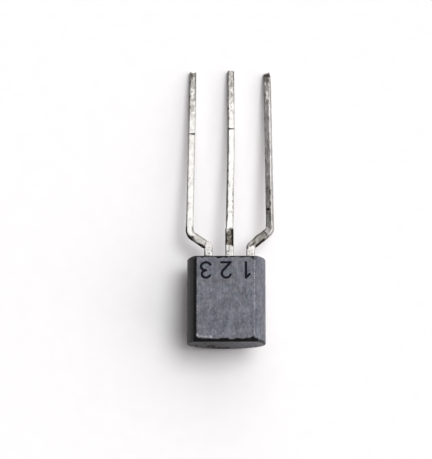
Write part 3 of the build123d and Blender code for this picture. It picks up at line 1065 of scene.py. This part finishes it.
    c = build_lead(
        "lead_right",
        "collector_lead",
        [(X_C, -0.30), (X_C, 0.816), (2.630, 1.790), (2.486, 11.63)],
        [0.24, 0.42],
        {
            "seed": 301,
            "width": by_y((0.4, 0.505), (0.8, 0.50), (1.9, 0.46), (2.4, 0.41), (12, 0.40)),
            "thick": by_y((0.4, 0.395), (2.0, 0.40), (12, 0.40)),
            "roll": by_y((0.9, deg(0)), (1.5, deg(-10)), (2.6, deg(-21)), (5.0, deg(-18)),
                         (8.5, deg(-15)), (10.4, deg(-14)), (11.5, deg(-9)), (12, deg(-9))),
            "lift": by_y((2.0, 0.0), (12.0, 0.040)),
            "lumps": lambda Y: np.interp(Y, [0, 2, 3, 8, 9.5, 12], [0.35, 0.5, 0.9, 1.1, 2.4, 3.0]),
            "marks": [
                nick(7.745, 0.02, 0.008, k=0.35, u0=0.4),
                pressed(0.92, 1.60, 0.034, soft=0.02, tarnish=0.85, press=0.26, seed=321,
                        ragged=0.10),
                # black lower edge of the slanted part, and its grey upper edge
                along_edge(0.95, 1.42, 1, 1.0, 322, gaps=0.05, reach=0.10, soft=0.05),
                along_edge(1.05, 1.74, -1, 0.62, 323, gaps=0.2, reach=0.07, soft=0.06),
                bulge(1.80, 1.52, 0.16, 0.055),
                bulge(2.22, 1.30, 0.14, 0.020),
                spot(1.60, 0.95, 0.17, 0.06, dark=0.85, turn=35, seed=324, ragged=0.4),
                spot(1.58, 1.06, 0.12, 0.08, dark=0.0, tarnish=0.9, turn=35, seed=347,
                     ragged=0.4),
                spot(1.42, 0.98, 0.12, 0.08, dark=0.15, tarnish=0.8, turn=35, seed=325,
                     ragged=0.5),
                spot(1.25, 0.70, 0.085, 0.065, dark=0.95, seed=326, ragged=0.3),
                spot(1.31, 0.82, 0.06, 0.13, dark=0.55, turn=-35, seed=343, ragged=0.4),
                spot(1.50, 0.86, 0.16, 0.06, dark=0.0, tarnish=0.9, turn=25, seed=344,
                     ragged=0.4),
                spot(1.46, 0.80, 0.05, 0.035, dark=0.8, turn=25, seed=345, ragged=0.5),
                spot(1.70, 1.08, 0.05, 0.04, dark=0.5, seed=346, ragged=0.5),
                spot(2.16, 1.56, 0.09, 0.03, dark=0.6, turn=30, seed=327, ragged=0.8),
                spot(1.36, 0.42, 0.025, 0.22, dark=0.12, tarnish=0.55, seed=328),
                spot(1.56, 0.58, 0.06, 0.03, dark=0.35, tarnish=0.4, seed=329, ragged=0.8),
                specks(between(0.0, 0.1, 0.45, 0.70), 320, 0.20, scale=10, dark=0.40),
                along_edge(0.05, 0.80, -1, 0.30, 330, gaps=0.5, reach=0.04, tarnish=0.4),
                # worn black stretch above the bend
                spot(2.51, 3.06, 0.13, 0.10, dark=1.0, seed=331, ragged=0.5),
                spot(2.63, 2.62, 0.05, 0.42, dark=0.75, seed=332, ragged=0.6),
                spot(2.46, 2.86, 0.08, 0.10, dark=0.35, tarnish=0.6, seed=340),
                spot(2.64, 4.10, 0.055, 0.22, dark=1.0, seed=333, ragged=0.5),
                spot(2.64, 3.45, 0.05, 0.24, dark=0.85, seed=334, ragged=0.5),
                spot(2.45, 4.36, 0.035, 0.10, dark=0.7, seed=335),
                spot(2.45, 3.62, 0.03, 0.10, dark=0.4, seed=336),
                spot(2.44, 6.35, 0.03, 0.06, dark=0.65, seed=337),
                spot(2.62, 6.66, 0.04, 0.12, dark=0.3, seed=338),
                spot(2.45, 2.05, 0.05, 0.35, dark=0.0, tarnish=0.5, turn=30, seed=339),
                # dull patches, more on the faces turned left from the light: tarnish and painted shade
                mottled(between(1.6, 2.0, 8.4, 9.6), 341, 0.06, amount=0.5, scale=5.5,
                        bias=lambda g: 0.25 * smoothstep(0.2, -0.5, g["A"]) - 0.1),
                specks(between(2.0, 2.4, 4.8, 6.0), 313, 0.40, scale=12, dark=0.6,
                       bias=lambda g: 0.12 * smoothstep(-0.1, 0.5, g["A"])
                       * smoothstep(0.9, 0.5, g["A"])),
                # upper part
                mottled(upper(9.0, 10.2), 361, 0.05, amount=0.85, width=0.2),
                mottled(upper(8.4, 9.6), 360, 0.05, scale=10, amount=0.6, width=0.2),
                specks(upper(9.6, 10.6), 362, 0.36, scale=9, dark=0.55),
                spot(2.46, 11.42, 0.26, 0.15, dark=0.85, tarnish=0.5, seed=364, ragged=0.25),
                spot(2.44, 11.12, 0.20, 0.16, dark=0.35, tarnish=0.8, seed=365),
            ],
            "tip": tip_pinch,
        },
    )
    return e, b, c


def tip_notch(P, g):
    """The tip is sheared with a shallow notch in the middle."""
    t = smoothstep(g["L"] - 0.20, g["L"], g["S"])
    mid = P[..., 0].mean(1, keepdims=True)
    u = np.clip((P[..., 0] - mid) / 0.21, -1, 1)
    P = P.copy()
    P[..., 1] -= t * 0.135 * (1 - np.abs(u)) + t * 0.030 * np.maximum(u, 0)
    return P


def tip_pinch(P, g):
    """The tip is cut at a slant and pinched from above and from its right side."""
    t = np.clip((g["S"] - (g["L"] - 0.30)) / 0.30, 0, 1)
    w = smoothstep(0.0, 1.0, t)
    P = P.copy()
    mid = P[..., 0].mean(1, keepdims=True)
    off = P[..., 0] - mid
    P[..., 0] = mid + np.where(off > 0, off * (1 - 0.28 * w), off)
    P[..., 1] += w * 0.052 * off / 0.22
    # the upper side comes down to a wedge
    low = P[..., 2].min(1, keepdims=True)
    P[..., 2] = low + (P[..., 2] - low) * (1 - 0.62 * t)
    return P


# ---------------------------------------------------------------- materials


class Nodes:
    def __init__(self, name):
        self.mat = bpy.data.materials.new(name)
        self.mat.use_nodes = True
        self.t = self.mat.node_tree
        self.t.nodes.clear()
        self.out = self.add("ShaderNodeOutputMaterial")
        self.bsdf = self.add("ShaderNodeBsdfPrincipled")
        self.link(self.bsdf.outputs["BSDF"], self.out.inputs["Surface"])
        self.co = self.add("ShaderNodeTexCoord").outputs["Object"]

    def add(self, kind, **settings):
        n = self.t.nodes.new(kind)
        for k, v in settings.items():
            setattr(n, k, v)
        return n

    def link(self, a, b):
        self.t.links.new(a, b)

    def put(self, socket, value):
        if isinstance(value, bpy.types.NodeSocket):
            self.link(value, socket)
        else:
            socket.default_value = value

    def math(self, op, a, b=None, c=None, clamp=False):
        n = self.add("ShaderNodeMath", operation=op, use_clamp=clamp)
        for i, v in enumerate((a, b, c)):
            if v is not None:
                self.put(n.inputs[i], v)
        return n.outputs[0]

    def scaled(self, scale):
        n = self.add("ShaderNodeMapping")
        self.link(self.co, n.inputs["Vector"])
        n.inputs["Scale"].default_value = scale
        return n.outputs["Vector"]

    def noise(self, scale, detail=4.0, rough=0.5, vector=None, distortion=0.0):
        n = self.add("ShaderNodeTexNoise")
        self.put(n.inputs["Vector"], vector if vector is not None else self.co)
        n.inputs["Scale"].default_value = scale
        n.inputs["Detail"].default_value = detail
        n.inputs["Roughness"].default_value = rough
        n.inputs["Distortion"].default_value = distortion
        return n.outputs["Fac"]

    def cells(self, scale, vector=None, feature="F1"):
        n = self.add("ShaderNodeTexVoronoi", feature=feature)
        self.put(n.inputs["Vector"], vector if vector is not None else self.co)
        n.inputs["Scale"].default_value = scale
        return n.outputs["Distance"]

    def ramp(self, fac, *stops, interpolation="LINEAR"):
        n = self.add("ShaderNodeValToRGB")
        n.color_ramp.interpolation = interpolation
        el = n.color_ramp.elements
        while len(el) < len(stops):
            el.new(0.5)
        for e, (pos, col) in zip(el, stops):
            e.position = pos
            e.color = (*col, 1.0) if hasattr(col, "__len__") else (col, col, col, 1.0)
        self.link(fac, n.inputs["Fac"])
        return n.outputs["Color"]

    def range(self, value, a, b, c=0.0, d=1.0, smooth=True):
        n = self.add("ShaderNodeMapRange")
        n.interpolation_type = "SMOOTHSTEP" if smooth else "LINEAR"
        self.put(n.inputs["Value"], value)
        n.inputs["From Min"].default_value = a
        n.inputs["From Max"].default_value = b
        n.inputs["To Min"].default_value = c
        n.inputs["To Max"].default_value = d
        return n.outputs["Result"]

    def mix(self, fac, a, b):
        n = self.add("ShaderNodeMix", data_type="RGBA")
        self.put(n.inputs["Factor"], fac)
        for s, v in ((n.inputs["A"], a), (n.inputs["B"], b)):
            if isinstance(v, bpy.types.NodeSocket):
                self.link(v, s)
            else:
                s.default_value = (*v, 1.0)
        return n.outputs["Result"]

    def attr(self, name):
        return self.add("ShaderNodeAttribute", attribute_name=name).outputs["Fac"]

    def bump(self, height, strength, distance, normal=None):
        n = self.add("ShaderNodeBump")
        n.inputs["Strength"].default_value = strength
        n.inputs["Distance"].default_value = distance
        self.link(height, n.inputs["Height"])
        if normal is not None:
            self.link(normal, n.inputs["Normal"])
        return n.outputs["Normal"]

    def set(self, name, value):
        self.put(self.bsdf.inputs[name], value)


def mould_compound():
    k = Nodes("black_epoxy")
    grain = k.noise(30000, 2, 0.5)
    speck = k.noise(1.0, 3, 0.6, vector=k.scaled((8200, 5200, 8200)))
    mottle = k.noise(1.0, 3, 0.55, vector=k.scaled((3700, 1700, 3000)))
    cloud = k.noise(820, 3, 0.5)
    streak = k.noise(1.0, 3, 0.6, vector=k.scaled((12000, 800, 800)))
    hue = k.noise(1500, 3, 0.6)
    flat = k.attr("flat")
    mark = k.attr("mark")
    tone = k.math("MULTIPLY_ADD", mottle, 0.26, k.math("MULTIPLY", cloud, 0.14))
    tone = k.math("MULTIPLY_ADD", speck, 0.42, tone)
    tone = k.math("MULTIPLY_ADD", streak, 0.18, tone)
    skin = k.ramp(tone, (0.40, (0.004, 0.004, 0.0045)), (0.50, (0.007, 0.007, 0.0075)),
                  (0.60, (0.013, 0.013, 0.014)))
    cool = k.ramp(tone, (0.41, (0.070, 0.076, 0.090)), (0.50, (0.109, 0.117, 0.140)),
                  (0.59, (0.158, 0.172, 0.200)))
    warm = k.ramp(tone, (0.41, (0.075, 0.076, 0.088)), (0.50, (0.114, 0.116, 0.135)),
                  (0.59, (0.164, 0.168, 0.192)))
    film = k.mix(k.range(hue, 0.42, 0.58), cool, warm)
    # the film follows the flat attribute, which also holds painted light on the right side and on the far
    # end
    color = k.mix(flat, skin, film)
    # pale colour of worn flecks and chips, and painted highlight along the right edge and the right part
    # of the far rim
    rubbed_and_highlight = k.math("MULTIPLY", k.attr("wear"), k.range(k.noise(9000, 3, 0.6), 0.36, 0.56))
    rubbed_and_highlight = k.math("MAXIMUM", rubbed_and_highlight, k.math("MULTIPLY", k.attr("chip"), 0.45))
    color = k.mix(rubbed_and_highlight, color, (0.36, 0.36, 0.39))
    lip = k.math("MULTIPLY", k.attr("lip"), k.range(k.noise(7000, 3, 0.6), 0.40, 0.60, 0.15, 1.0))
    color = k.mix(lip, color, (0.44, 0.44, 0.45))
    # painted shadow line just outside the right edge of the flat
    color = k.mix(k.math("MULTIPLY", k.attr("groove"), 0.55), color, (0.020, 0.020, 0.025))
    ink = k.range(mark, 0.010, -0.012)
    color = k.mix(ink, color, (0.007, 0.007, 0.013))
    # painted shade: the pits on the far end are darkened
    pit = k.math("MULTIPLY", k.attr("pit"), 0.80)
    color = k.mix(pit, color, (0.003, 0.0025, 0.0025))
    k.set("Base Color", color)
    rough = k.math("MULTIPLY_ADD", mottle, 0.20, 0.36)
    rough = k.math("MULTIPLY_ADD", streak, 0.08, rough)
    rough = k.math("MULTIPLY_ADD", flat, 0.02, rough)
    rough = k.math("MULTIPLY_ADD", ink, 0.60, rough)
    rough = k.math("MULTIPLY_ADD", k.attr("groove"), 0.10, rough)
    rough = k.math("MULTIPLY_ADD", pit, 0.30, rough, clamp=True)
    k.set("Roughness", rough)
    k.set("Specular IOR Level", 0.14)
    height = k.math("MULTIPLY_ADD", mottle, 3.0, k.math("MULTIPLY", speck, 1.1))
    height = k.math("MULTIPLY_ADD", grain, 0.22, height)
    height = k.math("MULTIPLY_ADD", streak, 0.5, height)
    k.set("Normal", k.bump(height, 1.0, 0.0000032))
    return k.mat


def tin():
    k = Nodes("tinned_lead")
    fine = k.noise(30000, 3, 0.6)
    patch = k.noise(1.0, 4, 0.62, vector=k.scaled((5200, 3000, 5200)))
    cloud = k.noise(1000, 3, 0.5)
    draw = k.noise(1.0, 2, 0.5, vector=k.scaled((38000, 1500, 38000)))
    dark = k.attr("dark")
    press = k.attr("press")
    tarnish = k.attr("tarnish")
    tone = k.math("MULTIPLY_ADD", patch, 0.50, k.math("MULTIPLY", cloud, 0.25))
    tone = k.math("MULTIPLY_ADD", draw, 0.25, tone)
    bright = k.ramp(tone, (0.36, (0.31, 0.305, 0.285)), (0.50, (0.430, 0.430, 0.415)),
                    (0.64, (0.54, 0.54, 0.53)))
    dull = k.math("MULTIPLY", tarnish, k.range(patch, 0.32, 0.60, 0.62, 1.0))
    color = k.mix(dull, bright, (0.205, 0.195, 0.170))
    # darker brown where pressed: partly its own colour, partly painted dark reflection of the sloped face
    color = k.mix(k.math("MULTIPLY", press, k.range(patch, 0.30, 0.62, 0.84, 1.0)), color,
                  (0.080, 0.064, 0.045))
    stain = k.math("MULTIPLY", dark, k.range(fine, 0.30, 0.55, 0.88, 1.0))
    color = k.mix(stain, color, (0.016, 0.014, 0.011))
    k.set("Base Color", color)
    k.set("Metallic", 1.0)
    rough = k.math("MULTIPLY_ADD", patch, 0.26, 0.39)
    rough = k.math("MULTIPLY_ADD", tarnish, 0.10, rough)
    rough = k.math("MULTIPLY_ADD", press, 0.08, rough)
    rough = k.math("MULTIPLY_ADD", dark, 0.20, rough, clamp=True)
    k.set("Roughness", rough)
    height = k.math("MULTIPLY_ADD", draw, 0.7, k.math("MULTIPLY", fine, 0.25))
    height = k.math("MULTIPLY_ADD", patch, 2.2, height)
    k.set("Normal", k.bump(height, 0.6, 0.000008))
    return k.mat


def silicon():
    k = Nodes("silicon")
    cells = k.cells(16000, feature="F1")
    streets = k.noise(9000, 2, 0.5)
    color = k.ramp(streets, (0.35, (0.10, 0.10, 0.125)), (0.65, (0.23, 0.22, 0.25)))
    k.set("Base Color", k.mix(k.range(cells, 0.2, 0.4), color, (0.32, 0.30, 0.26)))
    k.set("Metallic", 0.55)
    k.set("Roughness", k.math("MULTIPLY_ADD", streets, 0.2, 0.10))
    k.set("Normal", k.bump(cells, 0.3, 0.000002))
    return k.mat


def die_bond():
    k = Nodes("die_bond")
    n = k.noise(22000, 4, 0.65)
    k.set("Base Color", k.ramp(n, (0.3, (0.42, 0.42, 0.43)), (0.7, (0.68, 0.67, 0.65))))
    k.set("Metallic", 0.9)
    k.set("Roughness", k.math("MULTIPLY_ADD", n, 0.35, 0.40, clamp=True))
    k.set("Normal", k.bump(n, 0.6, 0.000006))
    return k.mat


def gold():
    k = Nodes("bond_wire")
    n = k.noise(1.0, 2, 0.5, vector=k.scaled((60000, 60000, 9000)))
    k.set("Base Color", k.ramp(n, (0.3, (0.83, 0.56, 0.20)), (0.7, (1.0, 0.78, 0.36))))
    k.set("Metallic", 1.0)
    k.set("Roughness", k.math("MULTIPLY_ADD", n, 0.18, 0.12))
    k.set("Normal", k.bump(n, 0.4, 0.000002))
    return k.mat


def paper():
    k = Nodes("floor")
    n = k.noise(900, 4, 0.6)
    k.set("Base Color", k.ramp(n, (0.3, (0.86, 0.86, 0.865)), (0.7, (0.88, 0.88, 0.88))))
    k.set("Roughness", 0.9)
    k.set("Specular IOR Level", 0.2)
    return k.mat


# ---------------------------------------------------------------- build

epoxy, tinned = mould_compound(), tin()
finish = {
    "silicon_die": silicon(),
    "die_attach": die_bond(),
}
wire = gold()
finish["base_bond_wire"] = finish["emitter_bond_wire"] = wire


def give(o, mat):
    o.data.materials.clear()
    o.data.materials.append(mat)


moulding = build_moulding()
give(moulding, epoxy)
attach(moulding, "root")
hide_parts("moulded_body")

for o, node in zip(build_leads(), ("emitter_lead", "base_lead", "collector_lead")):
    give(o, tinned)
    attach(o, "root")
    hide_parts(node)

for node, mat in finish.items():
    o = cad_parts[node]
    if o.material_slots:
        for s in o.material_slots:
            s.material = mat
    else:
        o.data.materials.append(mat)

# ---------------------------------------------------------------- floor, light, camera

floor_mesh = bpy.data.meshes.new("floor")
half = 4.0
floor_mesh.from_pydata(
    [(-half, -half, 0), (half, -half, 0), (half, half, 0), (-half, half, 0)],
    [],
    [(0, 1, 2, 3)],
)
floor = bpy.data.objects.new("floor", floor_mesh)
bpy.context.scene.collection.objects.link(floor)
give(floor, paper())


def sun(name, direction, strength, angle, color=(1, 1, 1)):
    """A soft round light from that direction, seen under that angle."""
    data = bpy.data.lights.new(name, "SUN")
    data.energy = strength
    data.angle = math.radians(angle)
    data.color = color
    o = bpy.data.objects.new(name, data)
    o.rotation_mode = "QUATERNION"
    o.rotation_quaternion = Vector(direction).to_track_quat("Z", "Y")
    bpy.context.scene.collection.objects.link(o)
    return o


# soft box high on the right; the world is the pale side of the studio, behind on the right,
# against a dark front left
sun("key", (0.296, 0.257, 0.920), 1.69, 27.0, (0.978, 1.0, 0.996))

world = bpy.data.worlds.new("studio")
bpy.context.scene.world = world
world.use_nodes = True
wt = world.node_tree
wt.nodes.clear()
w_out = wt.nodes.new("ShaderNodeOutputWorld")
w_bg = wt.nodes.new("ShaderNodeBackground")
w_back = wt.nodes.new("ShaderNodeBackground")
w_mix = wt.nodes.new("ShaderNodeMixShader")
w_path = wt.nodes.new("ShaderNodeLightPath")
w_co = wt.nodes.new("ShaderNodeTexCoord")
w_dot = wt.nodes.new("ShaderNodeVectorMath")
w_dot.operation = "DOT_PRODUCT"
w_dot.inputs[1].default_value = Vector((0.694, 0.566, 0.445)).normalized()
w_fade = wt.nodes.new("ShaderNodeMapRange")
w_fade.interpolation_type = "SMOOTHSTEP"
w_fade.inputs["From Min"].default_value = 0.43
w_fade.inputs["From Max"].default_value = 0.53
w_fade.inputs["To Min"].default_value = 0.004
w_fade.inputs["To Max"].default_value = 1.70
wt.links.new(w_co.outputs["Generated"], w_dot.inputs[0])
wt.links.new(w_dot.outputs["Value"], w_fade.inputs["Value"])
wt.links.new(w_fade.outputs["Result"], w_bg.inputs["Strength"])
w_bg.inputs["Color"].default_value = (1.0, 0.945, 0.955, 1)
w_back.inputs["Color"].default_value = (1, 1, 1, 1)
w_back.inputs["Strength"].default_value = 1.0
wt.links.new(w_path.outputs["Is Camera Ray"], w_mix.inputs["Fac"])
wt.links.new(w_bg.outputs[0], w_mix.inputs[1])
wt.links.new(w_back.outputs[0], w_mix.inputs[2])
wt.links.new(w_mix.outputs[0], w_out.inputs["Surface"])

cam_data = bpy.data.cameras.new("camera")
cam = bpy.data.objects.new("camera", cam_data)
bpy.context.scene.collection.objects.link(cam)
bpy.context.scene.camera = cam
# frame of 432 by 459: the long side is the height
cam_data.sensor_fit = "AUTO"
cam_data.sensor_width = 36.0
cam_data.lens = 36.0 * 1998.0 / 459.0
cam_data.clip_start = 0.001
cam_data.clip_end = 20.0
target = Vector((-0.835, -1.264, 2.288)) * MM
distance = 120.0 * MM
turn = (
    Matrix.Rotation(math.radians(-0.117), 3, "Z")
    @ Matrix.Rotation(math.radians(1.097), 3, "Y")
    @ Matrix.Rotation(math.radians(1.263), 3, "X")
)
cam.rotation_mode = "QUATERNION"
cam.rotation_quaternion = turn.to_quaternion()
cam.location = target + turn @ Vector((0, 0, distance))

bpy.context.scene.view_settings.view_transform = "Standard"
bpy.context.scene.view_settings.look = "None"
bpy.context.scene.view_settings.exposure = 0.0
bpy.context.scene.view_settings.gamma = 1.0
